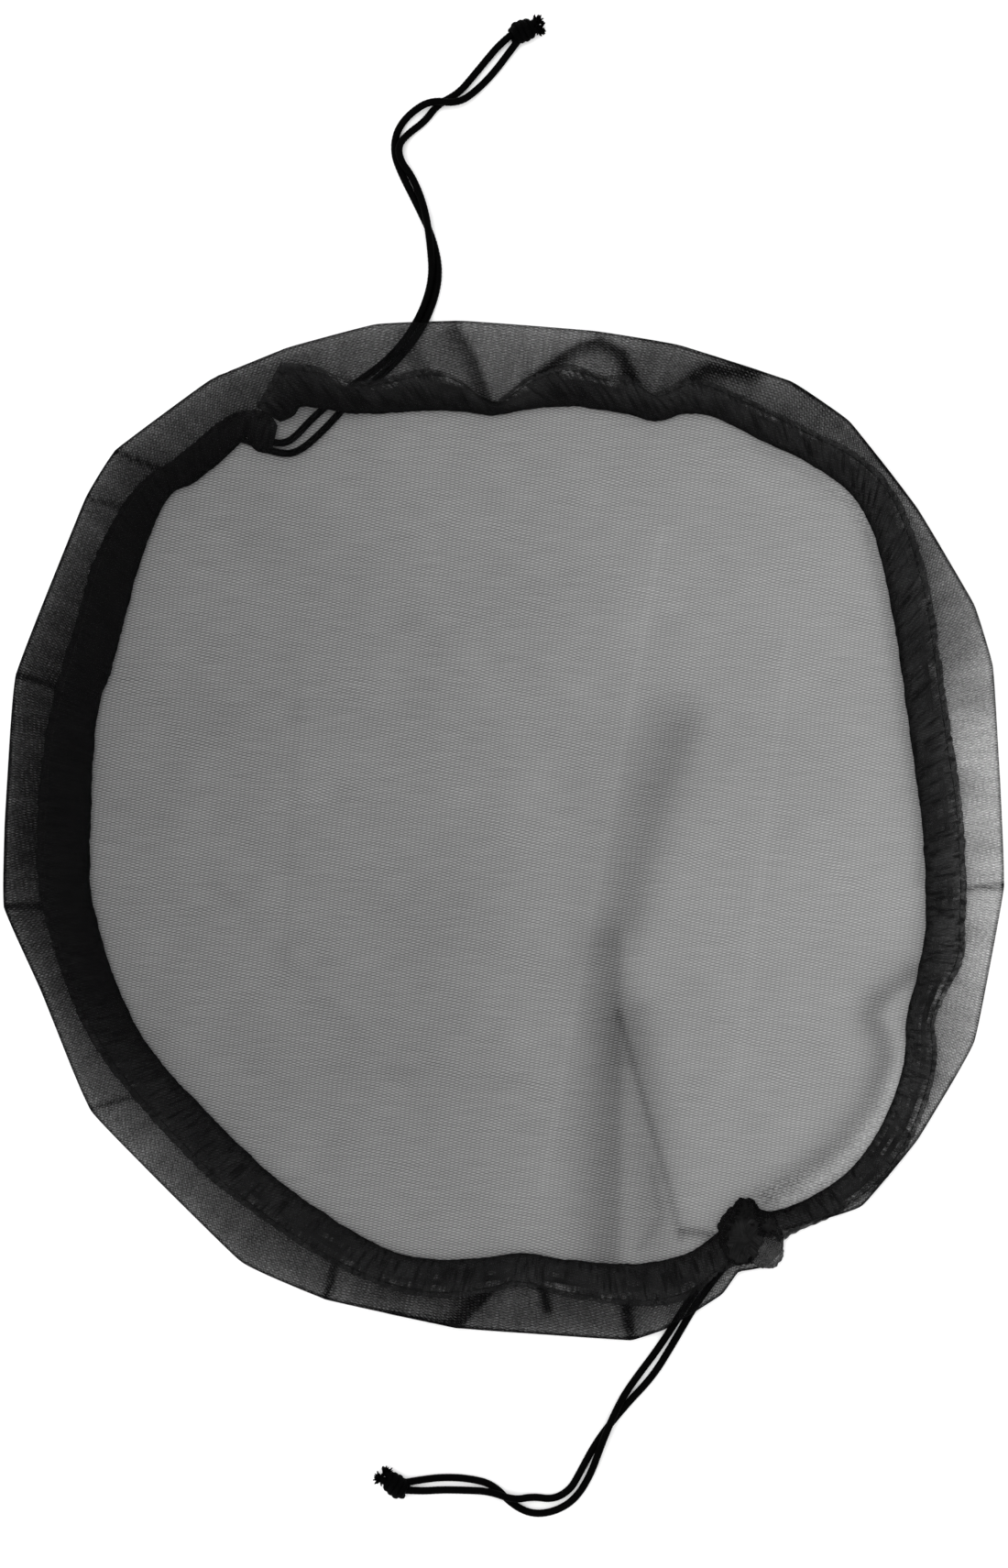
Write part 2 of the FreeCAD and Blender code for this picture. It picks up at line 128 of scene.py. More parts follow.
TOP_OUTER = [
    (-113.5, 179.5, 2.3), (-106.5, 175.8, 2.3), (-100.0, 174.2, 2.3), (-94.5, 176.4, 2.3),
    (-85.5, 186.4, 2.2), (-71.2, 198.4, 1.7), (-51.2, 212.2, 1.7), (-38.4, 229.2, 1.7),
    (-31.9, 247.5, 1.7), (-33.0, 264.0, 5.3), (-35.5, 280.0, 5.3), (-41.0, 294.0, 2.6),
    (-46.6, 301.0, 4.7), (-47.4, 308.0, 4.7), (-43.0, 313.5, 1.7), (-35.5, 319.0, 1.7),
    (-30.0, 326.5, 1.7), (-20.5, 331.5, 1.7), (-14.5, 338.5, 1.7), (-7.5, 347.0, 1.7),
    (-1.5, 354.0, 2.1), (3.8, 358.0, 3.0),
]
TOP_INNER = [
    (-109.5, 173.0, 2.3), (-101.0, 169.6, 2.3), (-92.0, 170.4, 2.3), (-80.0, 181.2, 2.2),
    (-68.4, 194.4, 1.7), (-48.6, 210.2, 1.7), (-35.4, 227.6, 1.7), (-28.5, 247.8, 1.7),
    (-31.3, 265.5, 1.7), (-39.6, 283.0, 1.7), (-46.0, 295.5, 1.7), (-49.4, 304.5, 1.7),
    (-48.5, 314.0, 1.7), (-43.0, 322.0, 1.7), (-33.0, 328.0, 5.3), (-20.5, 326.3, 5.3),
    (-11.5, 333.5, 1.7), (-3.6, 342.0, 1.7), (2.2, 349.8, 1.9), (6.6, 355.4, 3.0),
]
BOTTOM_OUTER = [
    (134.0, -172.4, 2.3), (119.0, -177.2, 2.3), (107.5, -184.5, 2.3), (88.0, -208.2, 1.7),
    (75.2, -230.5, 1.7), (66.5, -244.5, 1.7), (54.5, -257.0, 1.7), (42.0, -272.5, 1.7),
    (34.2, -287.0, 1.7), (29.8, -295.0, 1.7), (22.0, -299.4, 1.7), (13.0, -298.0, 1.7),
    (4.5, -299.0, 5.3), (-6.5, -295.0, 5.3), (-17.0, -295.2, 1.7), (-28.0, -295.0, 1.7),
    (-37.0, -295.6, 1.9), (-44.5, -294.9, 3.0),
]
BOTTOM_INNER = [
    (131.5, -168.6, 2.3), (119.0, -173.0, 2.3), (106.0, -178.0, 2.3), (85.2, -206.2, 1.7),
    (71.4, -228.8, 1.7), (56.0, -249.0, 1.7), (50.0, -259.0, 5.3), (44.0, -273.0, 5.3),
    (38.8, -288.5, 1.7), (31.8, -299.5, 1.7), (22.5, -304.9, 1.7), (12.5, -306.0, 1.7),
    (3.5, -301.5, 1.7), (-5.0, -292.5, 1.7), (-15.5, -289.9, 1.7), (-27.0, -289.3, 1.7),
    (-37.0, -290.4, 1.9), (-44.5, -291.5, 3.0),
]
TOP_EXIT = (-103.0, 172.6, 2.3)
BOTTOM_EXIT = (112.0, -173.0, 2.3)


def run_along(line):
    """How far along a line each of its points lies."""
    return np.append(0, np.cumsum(np.linalg.norm(np.diff(line, axis=0), axis=1)))


def smooth_line(route, step):
    """Points a step apart, in millimetres, along the spline that a route's points steer."""
    curve = bpy.data.curves.new("line", "CURVE")
    curve.dimensions = "3D"
    spline = curve.splines.new("NURBS")
    spline.points.add(len(route) - 1)
    for point, place in zip(spline.points, route):
        point.co = (*place, 1)
    spline.order_u = 3
    spline.use_endpoint_u = True
    curve.resolution_u = 32
    carrier = bpy.data.objects.new("line", curve)
    bpy.context.scene.collection.objects.link(carrier)
    mesh = bpy.data.meshes.new_from_object(carrier)
    places = np.array([vertex.co[:] for vertex in mesh.vertices])
    bpy.data.objects.remove(carrier)
    bpy.data.curves.remove(curve)
    bpy.data.meshes.remove(mesh)
    run = run_along(places)
    even = np.linspace(0, run[-1], max(3, round(run[-1] / step)) + 1)
    return np.column_stack([np.interp(even, run, places[:, axis]) for axis in range(3)])


def unit(rows):
    """Each row, or a single direction, brought to a length of one."""
    return rows / np.linalg.norm(rows, axis=-1, keepdims=True)


def frames_along(line):
    """For each point of a line, its direction and two directions square to it."""
    ahead = unit(np.gradient(line, axis=0))
    side = np.empty_like(line)
    side[0] = unit(np.cross((0.02, 0.01, 1.0), ahead[0]))
    for index in range(1, len(line)):
        kept = side[index - 1] - ahead[index] * side[index - 1].dot(ahead[index])
        side[index] = kept / np.linalg.norm(kept)
    return ahead, side, np.cross(ahead, side)


SEAM = 1e-7  # in metres: corners that lie this close are one corner


def lay_grid(name, along, across, place, material, closed=False, body="root", slack=None):
    """A piece made from a grid of cloth. The function place puts each point of the grid, given
    as two shares from 0 to 1, in millimetres, and a closed piece has its open ends filled. The
    function slack says how loosely the cloth lies at each point."""
    bm = bmesh.new()
    bm.loops.layers.uv.verify()
    bmesh.ops.create_grid(bm, x_segments=along, y_segments=across, size=0.5, calc_uvs=True)
    shares = np.array([vertex.co[:2] for vertex in bm.verts]) + 0.5
    for vertex, spot in zip(bm.verts, place(shares[:, 0], shares[:, 1])):
        vertex.co = spot * MM
    if slack:
        slack_layer = bm.verts.layers.float.new("slack")
        for vertex, value in zip(bm.verts, slack(shares[:, 0], shares[:, 1])):
            vertex[slack_layer] = value
    bmesh.ops.remove_doubles(bm, verts=bm.verts, dist=SEAM)
    if closed:
        rims = [edge for edge in bm.edges if edge.is_boundary]
        bmesh.ops.holes_fill(bm, edges=rims, sides=0)
        bmesh.ops.recalc_face_normals(bm, faces=bm.faces)
    return finish_piece(name, bm, material, body)


def finish_piece(name, bm, material, body):
    """A piece that rides on a body, from a finished shape."""
    for face in bm.faces:
        face.smooth = True
    mesh = bpy.data.meshes.new(name)
    bm.to_mesh(mesh)
    bm.free()
    mesh.materials.append(material)
    piece = bpy.data.objects.new(name, mesh)
    bpy.context.scene.collection.objects.link(piece)
    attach(piece, body)
    return piece


PLAIT_ROUND = 8  # carriers side by side round the cord, in each direction
PLAIT_PITCH = 3.4
PLAIT_DEPTH = 0.075  # as a share of the cord's radius


def plaited_tube(name, line, thick, around, material, body):
    """A plaited cord along a line: its carriers stand up as rows of small lozenges."""
    _, side, up = frames_along(line)
    run = run_along(line)

    def place(length_share, turn_share):
        row = np.clip(np.rint(length_share * (len(line) - 1)).astype(int), 0, len(line) - 1)
        turn = turn_share * 2 * math.pi
        lozenge = np.cos(PLAIT_ROUND / 2 * turn + 2 * math.pi * run[row] / PLAIT_PITCH)
        lozenge = lozenge * np.cos(PLAIT_ROUND / 2 * turn - 2 * math.pi * run[row] / PLAIT_PITCH)
        reach = thick / 2 * (1 + PLAIT_DEPTH * (np.abs(lozenge) - 0.5))
        out = side[row] * np.cos(turn)[:, None] + up[row] * np.sin(turn)[:, None]
        return line[row] + out * reach[:, None]

    return lay_grid(name, len(line) - 1, around, place, material, closed=True, body=body)


def cord_polyester():
    """Black polyester filament: nearly black, with a painted sheen along each carrier."""
    material, nodes, links, shader = new_material("cord_polyester")
    place = add_node(nodes, "ShaderNodeUVMap")
    scale = add_node(nodes, "ShaderNodeMapping")
    scale.inputs["Scale"].default_value = (150.0, 8.0, 1.0)
    links.new(place.outputs["UV"], scale.inputs["Vector"])
    fibre = add_node(nodes, "ShaderNodeTexWave", input_1=2.0, input_2=3.0, input_3=2.0)
    fibre.bands_direction = "DIAGONAL"
    links.new(scale.outputs["Vector"], fibre.inputs["Vector"])
    spot = add_node(nodes, "ShaderNodeTexCoord")
    sheen_patches = add_node(nodes, "ShaderNodeTexNoise", input_2=260.0, input_3=4.0)
    links.new(spot.outputs["Object"], sheen_patches.inputs["Vector"])
    both = add_node(nodes, "ShaderNodeMath", operation="MULTIPLY")
    links.new(fibre.outputs["Fac"], both.inputs[0])
    links.new(sheen_patches.outputs["Fac"], both.inputs[1])
    # Painted sheen: the colour rises along the carriers' raised bands, more in some patches than in
    # others.
    tint = add_node(nodes, "ShaderNodeValToRGB")
    tint.color_ramp.elements[0].color = (0.0002, 0.0002, 0.0002, 1)
    tint.color_ramp.elements[1].color = (0.0020, 0.0020, 0.0021, 1)
    tint.color_ramp.elements[1].position = 0.7
    links.new(both.outputs[0], tint.inputs["Fac"])
    links.new(tint.outputs["Color"], shader.inputs["Base Color"])
    bump = add_node(nodes, "ShaderNodeBump", input_0=0.35, input_1=0.0001)
    links.new(fibre.outputs["Fac"], bump.inputs["Height"])
    links.new(bump.outputs["Normal"], shader.inputs["Normal"])
    shader.inputs["Roughness"].default_value = 0.5
    shader.inputs["Specular IOR Level"].default_value = 0.008
    return material


cord_black = cord_polyester()
STRAND_STEP = 0.42
STRAND_AROUND = 20
free_strands = {}
for label, route, body in (
    ("top_strand_outer", TOP_OUTER, "top_tail"),
    ("top_strand_inner", TOP_INNER, "top_tail"),
    ("bottom_strand_outer", BOTTOM_OUTER, "bottom_tail"),
    ("bottom_strand_inner", BOTTOM_INNER, "bottom_tail"),
):
    line = smooth_line(route, STRAND_STEP)
    piece = plaited_tube("drawcord_" + label, line, CORD + PROUD, STRAND_AROUND, cord_black, body)
    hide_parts(label)
    free_strands[label] = (piece, line)


# ---- Knots and cut ends ----
# The two strands of each tail are tied together in one overhand knot, pulled tight. Their cut
# ends were melted, so they end in short hard spikes.

KNOT_TURNS = 1.5
KNOT_REACH = (3.7, 3.75, 2.55)  # half the length, width and height that the wraps reach
WRAP_THICK = 3.2
CORE_THICK = 4.8


def knot_place(middle, heading, spots):
    """Moves spots from the knot's own axes, along its cut ends, to where it lies."""
    turn = math.radians(heading)
    spots = np.asarray(spots, float)
    across = spots[:, 0] * math.cos(turn) - spots[:, 1] * math.sin(turn)
    along = spots[:, 0] * math.sin(turn) + spots[:, 1] * math.cos(turn)
    return np.column_stack([across + middle[0], along + middle[1], spots[:, 2] + middle[2]])


def joined(name, parts, body):
    """One piece from several meshes, which are used up."""
    bm = bmesh.new()
    for part in parts:
        bm.from_mesh(part.data)
    material = parts[0].data.materials[0]
    for part in parts:
        mesh = part.data
        bpy.data.objects.remove(part)
        bpy.data.meshes.remove(mesh)
    return finish_piece(name, bm, material, body)


def overhand_knot(name, middle, heading, node, body):
    """Both strands wound side by side round themselves, with lumps where they pass over."""
    parts = []
    steps = int(KNOT_TURNS * 6) + 1
    for strand in (0, 1):
        spots = []
        for index in range(steps):
            share = index / (steps - 1)
            turn = math.pi * strand + share * KNOT_TURNS * 2 * math.pi + 0.6
            pinch = 0.84 + 0.12 * math.sin(math.pi * share) + 0.19 * math.cos(3 * turn + 0.8)
            spots.append((
                KNOT_REACH[0] * (2 * share - 1) + 0.5 * math.sin(2 * turn),
                KNOT_REACH[1] * math.cos(turn) * pinch * 1.12,
                KNOT_REACH[2] * math.sin(turn) * pinch * 1.1,
            ))
        spots = [(-4.6, 1.6 - 3.2 * strand, -0.6)] + spots + [(4.6, 1.9 - 3.8 * strand, 0.4)]
        line = smooth_line(knot_place(middle, heading, spots), 0.35)
        parts.append(plaited_tube("wrap", line, WRAP_THICK, 16, cord_black, body))
    core = smooth_line(knot_place(middle, heading, [(-4.4, 0, 0), (0, 0.4, 0.2), (4.4, 0, 0)]), 0.6)
    parts.append(plaited_tube("core", core, CORE_THICK, 12, cord_black, body))
    piece = joined(name, parts, body)
    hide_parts(node)
    return piece


STUB_THICK = 3.3
SPIKES = 22
SPIKE_SIDES = 6


def cut_ends(name, middle, heading, seed, node, body):
    """Two stubs of cord, each ending in a tuft of melted spikes."""
    draw = random.Random(seed)
    parts = []
    bm = bmesh.new()
    for side in (-1, 1):
        tip = np.array([8.0, side * 1.8, 0.1])
        spots = [(2.8, side * 1.2, 0), (5.4, side * 1.6, 0.1), tuple(tip)]
        line = smooth_line(knot_place(middle, heading, spots), 0.35)
        parts.append(plaited_tube("stub", line, STUB_THICK, 16, cord_black, body))
        for _ in range(SPIKES):
            point = np.array([draw.uniform(-0.5, 1.0), draw.uniform(-0.5, 0.9) * side,
                              draw.uniform(-0.6, 0.65)])
            point = point / np.linalg.norm(point)
            length = draw.uniform(2.1, 3.4)
            start = tip + point * 0.5 + np.array([draw.uniform(-0.9, 0.2), draw.uniform(-0.5, 0.5),
                                                  draw.uniform(-0.5, 0.5)])
            ends = knot_place(middle, heading, [start, start + point * length])
            spine = Vector(ends[1] - ends[0])
            turn = Vector((0, 0, 1)).rotation_difference(spine).to_matrix().to_4x4()
            turn.translation = Vector((ends[0] + ends[1]) / 2) * MM
            bmesh.ops.create_cone(
                bm, cap_ends=True, segments=SPIKE_SIDES, radius1=draw.uniform(0.7, 1.1) * MM,
                radius2=0.22 * MM, depth=length * MM, matrix=turn,
            )
    parts.append(finish_piece("spikes", bm, cord_black, body))
    piece = joined(name, parts, body)
    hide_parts(node)
    return piece


TOP_KNOT, TOP_HEADING = (8.0, 359.0, 4.1), 20.0
BOTTOM_KNOT, BOTTOM_HEADING = (-48.0, -293.0, 4.1), 142.0
top_knot = overhand_knot("tail_knot_top", TOP_KNOT, TOP_HEADING, "top_knot", "top_tail")
top_ends = cut_ends("cut_ends_top", TOP_KNOT, TOP_HEADING, 5, "top_cut_ends", "top_tail")
bottom_knot = overhand_knot(
    "tail_knot_bottom", BOTTOM_KNOT, BOTTOM_HEADING, "bottom_knot", "bottom_tail"
)
bottom_ends = cut_ends(
    "cut_ends_bottom", BOTTOM_KNOT, BOTTOM_HEADING, 8, "bottom_cut_ends", "bottom_tail"
)


for label, exit_spot, pieces in (
    ("top_strand_outer", TOP_EXIT, [top_knot, top_ends]),
    ("top_strand_inner", TOP_EXIT, []),
    ("bottom_strand_outer", BOTTOM_EXIT, [bottom_knot, bottom_ends]),
    ("bottom_strand_inner", BOTTOM_EXIT, []),
):
    piece, line = free_strands[label]


# ---- Hem casings ----
# The net's edge is turned in and sewn down as two flat tunnels, one round each side. The
# drawcord gathers them, so the net stands in close ruffles, and several layers look black.

LEFT_CASING = [
    # inner edge x and y, outer edge x and y
    (-104.5, 169.8, -101.6, 182.5), (-109.5, 170.3, -104.5, 188.0), (-113.6, 172.8, -111.0, 190.0),
    (-115.2, 178.4, -119.6, 189.0), (-118.4, 174.3, -126.4, 185.5), (-128.2, 165.2, -137.8, 176.0),
    (-139.2, 156.2, -149.4, 166.0), (-147.4, 153.8, -158.6, 161.5), (-152.6, 147.6, -168.8, 151.0),
    (-158.6, 134.2, -177.2, 137.0), (-165.2, 115.0, -185.6, 119.6), (-171.2, 91.2, -190.8, 98.0),
    (-176.8, 70.0, -198.2, 75.6), (-182.4, 57.0, -202.4, 60.0), (-184.6, 30.0, -207.6, 35.0),
    (-185.6, 0.0, -209.8, 2.0), (-186.0, -26.0, -209.6, -24.0), (-181.6, -44.0, -203.6, -48.0),
    (-176.4, -61.6, -196.2, -70.4), (-165.4, -88.0, -184.4, -96.2),
    (-149.6, -108.8, -166.4, -119.4), (-137.6, -120.8, -153.6, -133.6),
    (-120.6, -138.6, -134.0, -154.6), (-101.0, -156.8, -111.0, -172.0),
    (-76.8, -173.6, -85.2, -189.6), (-52.0, -188.2, -55.2, -204.4), (-30.8, -192.2, -31.4, -209.8),
    (-6.0, -190.6, -8.0, -207.2), (8.2, -188.0, 6.0, -202.6), (22.6, -191.0, 23.0, -207.6),
    (44.0, -193.4, 46.0, -211.6), (62.0, -193.6, 66.2, -213.4), (79.0, -190.6, 84.6, -209.0),
    (90.0, -184.6, 96.0, -198.0), (101.0, -174.6, 110.0, -192.0), (106.0, -168.0, 118.0, -190.0),
]
RIGHT_CASING = [
    (103.5, -170.5, 108.0, -194.0), (108.8, -164.6, 119.0, -191.0), (115.0, -169.2, 124.0, -184.0),
    (121.4, -170.4, 131.0, -179.0), (138.0, -164.0, 147.6, -172.6), (157.6, -150.6, 168.4, -160.4),
    (172.0, -127.6, 184.0, -138.0), (178.8, -107.4, 192.8, -113.0), (180.2, -96.6, 195.0, -97.0),
    (180.0, -84.0, 192.2, -85.6), (183.4, -72.0, 198.4, -72.4), (188.0, -52.6, 207.2, -56.0),
    (189.4, -38.0, 206.8, -42.0), (189.0, -22.0, 207.8, -24.8), (188.4, -6.0, 206.8, -8.0),
    (186.4, 14.0, 205.6, 15.0), (182.6, 40.0, 200.8, 43.4), (177.6, 78.0, 194.8, 86.0),
    (173.2, 104.6, 191.0, 113.0), (166.6, 134.0, 179.6, 147.4), (157.0, 151.4, 168.4, 162.6),
    (145.2, 160.4, 155.4, 172.4), (131.8, 168.6, 140.2, 179.2), (115.0, 175.6, 122.6, 188.4),
    (96.0, 186.2, 101.0, 198.6), (82.0, 188.6, 84.0, 205.6), (72.0, 184.8, 74.6, 200.0),
    (66.0, 183.8, 65.4, 195.4), (58.4, 187.0, 57.0, 206.4), (44.0, 189.6, 44.0, 204.0),
    (28.0, 191.4, 28.6, 212.2), (12.0, 190.0, 10.0, 204.6), (-1.0, 187.4, -4.0, 192.2),
    (-6.4, 186.6, -9.0, 191.8), (-13.0, 188.2, -18.0, 203.0), (-30.0, 189.4, -33.0, 209.6),
    (-50.0, 188.2, -52.0, 204.0), (-66.0, 187.0, -68.0, 201.6), (-79.0, 189.2, -82.0, 208.6),
    (-90.6, 191.0, -99.6, 210.6), (-91.8, 190.0, -100.2, 210.2), (-93.5, 186.0, -107.0, 196.4),
    (-100.0, 183.6, -111.0, 190.6),
]
CASING_TALL = 4.4
CASING_AROUND = 36
CASING_FLAT = 0.55  # the lower, the flatter the tunnel lies and the squarer its edges
CASING_CLEAR = 0.12  # over the table
PLEAT_PITCH = 3.1
PLEAT_HIGH = 0.42
RAISED_LOW = 4.2
# How much light each wall lets through, and with it how grey the net is painted for light glowing
# through it, by direction in degrees: at its middle, and at the casing's outer edge.
LOOSENESS = [
    (-180, 0.02, 0.08), (-158, 0.03, 0.14), (-145, 0.20, 0.50), (-120, 0.32, 0.60),
    (-90, 0.37, 0.66), (-75, 0.37, 0.66), (-62, 0.22, 0.50), (-52, 0.14, 0.40), (-46, 0.34, 0.62),
    (-38, 0.50, 0.68), (-25, 0.46, 0.55), (0, 0.36, 0.48), (20, 0.34, 0.50), (45, 0.26, 0.60),
    (60, 0.18, 0.70), (90, 0.12, 0.79), (110, 0.10, 0.74), (118, 0.08, 0.36), (124, 0.03, 0.10),
    (140, 0.02, 0.06), (180, 0.02, 0.06),
]


def edges_along(stations, step):
    """Both edges of a casing, smooth, as points about a step apart along it."""
    middle = smooth_line([((a + c) / 2, (b + d) / 2, 0) for a, b, c, d in stations], step)
    count = len(middle)
    inner = smooth_line([(a, b, 0) for a, b, _, _ in stations], step / 4)
    outer = smooth_line([(c, d, 0) for _, _, c, d in stations], step / 4)
    picks = []
    for edge in (inner, outer):
        # each edge is stepped through station by station, so that its points stay opposite
        run = np.linspace(0, len(edge) - 1, count)
        picks.append(edge[np.rint(run).astype(int)])
    return picks


def ruffle(spots, size, seed):
    """Small smooth noise for each spot, between about -1 and 1."""
    return np.array([noise.noise(Vector((x / size, y / size, z / size + seed)))
                     for x, y, z in spots])


def casing_sleeve(name, stations, seed, lift, material, node):
    """A flat tunnel between its two edges, pleated across by the cord that gathers it."""
    inner, outer = edges_along(stations, 1.0)
    rows = len(inner) - 1
    run = run_along((inner + outer) / 2)
    lifts = lift(run, run[-1])

    def place(length_share, turn_share):
        row = np.clip(np.rint(length_share * rows).astype(int), 0, rows)
        turn = turn_share * 2 * math.pi
        wave = run[row]
        zero = np.zeros_like(wave)
        slow = ruffle(np.column_stack([wave, zero, zero]), 9.0, seed)
        quick = ruffle(np.column_stack([wave, np.cos(turn) * 2, zero]), 2.3, seed + 5)
        flat = np.sign(np.cos(turn)) * np.abs(np.cos(turn)) ** CASING_FLAT
        high = np.sign(np.sin(turn)) * np.abs(np.sin(turn)) ** 0.7
        fringe = np.where(np.cos(turn) > 0, 0.03, 0.08)
        share = 0.5 - 0.5 * flat * (1 + 0.05 * slow + fringe * quick)
        base = inner[row] + (outer[row] - inner[row]) * share[:, None]
        gather = wave * 2 * math.pi / PLEAT_PITCH
        pleat = PLEAT_HIGH * np.sin(gather + 2.2 * slow + 1.4 * np.cos(turn))
        tall = CASING_TALL / 2 * (0.86 + 0.14 * np.cos((share - 0.36) * math.pi * 1.6))
        level = CASING_TALL / 2 + high * (tall + (pleat + 0.5 * quick) * (high > 0) * 0.8)
        base[:, 2] = np.maximum(level, CASING_CLEAR) + lifts[row]
        return base

    def slack(length_share, turn_share):
        row = np.clip(np.rint(length_share * rows).astype(int), 0, rows)
        round_it = np.cos(turn_share * 2 * math.pi)
        share = 0.5 - 0.5 * np.sign(round_it) * np.abs(round_it) ** CASING_FLAT
        towards_edge = np.clip((share - 0.35) / 0.6, 0, 1)
        towards_mouth = np.clip(1 - share / 0.22, 0, 1)
        spots = (inner + outer) / 2
        side = np.degrees(np.arctan2(spots[:, 1], spots[:, 0]))
        directions, at_middle, at_edge = zip(*LOOSENESS)
        middle = np.interp(side, directions, at_middle)[row]
        edge = np.interp(side, directions, at_edge)[row]
        return (middle + (edge - middle) * towards_edge) * (1 - 0.8 * towards_mouth)

    piece = lay_grid(name, rows, CASING_AROUND, place, material, closed=True, slack=slack)
    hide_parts(node)
    return piece, inner, outer


def math_maker(nodes, links):
    """A function that adds one step of arithmetic on numbers and on other nodes' results."""
    def math_node(kind, *values):
        node = add_node(nodes, "ShaderNodeMath", operation=kind)
        for index, value in enumerate(values):
            if isinstance(value, (int, float)):
                node.inputs[index].default_value = value
            else:
                links.new(value, node.inputs[index])
        return node.outputs[0]

    return math_node


STREAKS, PATCHES, PORES = 3.8, 3.2, 0.8  # how strongly each pattern moves the light


def gathered_net():
    """Gathered net in several layers: black, with light through it here and there, mostly
    towards the outer edge, in streaks that follow the gathers. Where it lies loose, its colour
    is painted grey along those streaks, as painted light glowing through the layers."""
    material, nodes, links, shader = new_material("gathered_net")
    math_node = math_maker(nodes, links)
    laid = add_node(nodes, "ShaderNodeUVMap")
    stretch = add_node(nodes, "ShaderNodeMapping")
    stretch.inputs["Scale"].default_value = (300.0, 7.0, 1.0)
    links.new(laid.outputs["UV"], stretch.inputs["Vector"])
    streaks = add_node(nodes, "ShaderNodeTexNoise", input_2=1.0, input_3=3.0, input_4=0.65)
    links.new(stretch.outputs["Vector"], streaks.inputs["Vector"])
    place = add_node(nodes, "ShaderNodeTexCoord")
    pores = add_node(nodes, "ShaderNodeTexNoise", input_2=650.0, input_3=2.0, input_4=0.7)
    links.new(place.outputs["Object"], pores.inputs["Vector"])
    patches = add_node(nodes, "ShaderNodeTexNoise", input_2=60.0, input_3=3.0, input_4=0.6)
    links.new(place.outputs["Object"], patches.inputs["Vector"])
    slack = add_node(nodes, "ShaderNodeAttribute", attribute_name="slack")
    even = 1 - (STREAKS + PATCHES + PORES) / 2
    light = math_node("MULTIPLY_ADD", streaks.outputs["Fac"], STREAKS, even)
    light = math_node("MULTIPLY_ADD", patches.outputs["Fac"], PATCHES, light)
    light = math_node("MULTIPLY_ADD", pores.outputs["Fac"], PORES, light)
    light = math_node("MULTIPLY", slack.outputs["Fac"], math_node("MAXIMUM", light, 0.05))
    cover = add_node(nodes, "ShaderNodeMapRange", input_1=0.28, input_2=0.88, input_3=1.0,
                     input_4=0.16)
    links.new(light, cover.inputs[0])
    links.new(cover.outputs[0], shader.inputs["Alpha"])
    # Painted light: where the net lies loose, its colour is lifted towards grey along the streaks,
    # for light glowing through the layers.
    painted_light_streaks = add_node(nodes, "ShaderNodeMapRange", input_1=0.38, input_2=0.66, input_3=0.15,
                     input_4=1.1)
    links.new(streaks.outputs["Fac"], painted_light_streaks.inputs[0])
    painted_light_grey = math_node("MULTIPLY", slack.outputs["Fac"], painted_light_streaks.outputs[0])
    tint = add_node(nodes, "ShaderNodeValToRGB")
    tint.color_ramp.elements[0].color = (0.0012, 0.0012, 0.0012, 1)
    tint.color_ramp.elements[1].color = (0.20, 0.20, 0.201, 1)
    links.new(painted_light_grey, tint.inputs["Fac"])
    links.new(tint.outputs["Color"], shader.inputs["Base Color"])
    bump = add_node(nodes, "ShaderNodeBump", input_0=0.6, input_1=0.0004)
    links.new(pores.outputs["Fac"], bump.inputs["Height"])
    links.new(bump.outputs["Normal"], shader.inputs["Normal"])
    shader.inputs["Roughness"].default_value = 0.85
    shader.inputs["Specular IOR Level"].default_value = 0.018
    return material


hem_net = gathered_net()


CLIMB_FROM_END, CLIMB_RUN = 48, 16


def stays_low(run, whole):
    """No lift anywhere, for a casing that lies on the table."""
    return np.zeros_like(run)


def climbs_at_end(run, whole):
    """The right casing's blind end climbs over the left casing's cord."""
    return RAISED_LOW * np.clip((run - (whole - CLIMB_FROM_END)) / CLIMB_RUN, 0, 1)


left_sleeve, left_inner, left_outer = casing_sleeve(
    "hem_casing_left", LEFT_CASING, 3.0, stays_low, hem_net, "casing_left"
)
right_sleeve, right_inner, right_outer = casing_sleeve(
    "hem_casing_right", RIGHT_CASING, 17.0, climbs_at_end, hem_net, "casing_right"
)


# ---- Bunched corner ----
# Where the two casings meet at the lower right, the cord has drawn the net between them into a
# tight crumpled rosette that stands out a little past the rim.

BUNCH_CLEAR = 0.15  # over the table
# Each lobe: its middle, its reach, how much light it lets through (which also sets how grey it is
# painted, for light glowing through it), how crumpled it is, and how many times its faces are
# divided.
LOBES = [
    ((107.0, -180.5, 4.3), (10.3, 12.0, 3.7), 0.07, 1.2, 6),
    ((108.2, -169.6, 4.6), (5.2, 5.6, 3.2), 0.04, 1.4, 5),
    ((102.6, -176.2, 4.2), (6.4, 5.2, 3.0), 0.07, 1.0, 5),
    ((117.4, -187.0, 4.0), (7.2, 7.8, 2.8), 0.56, 1.3, 5),
    ((117.4, -175.5, 4.2), (5.0, 5.2, 3.0), 0.06, 0.8, 5),
]


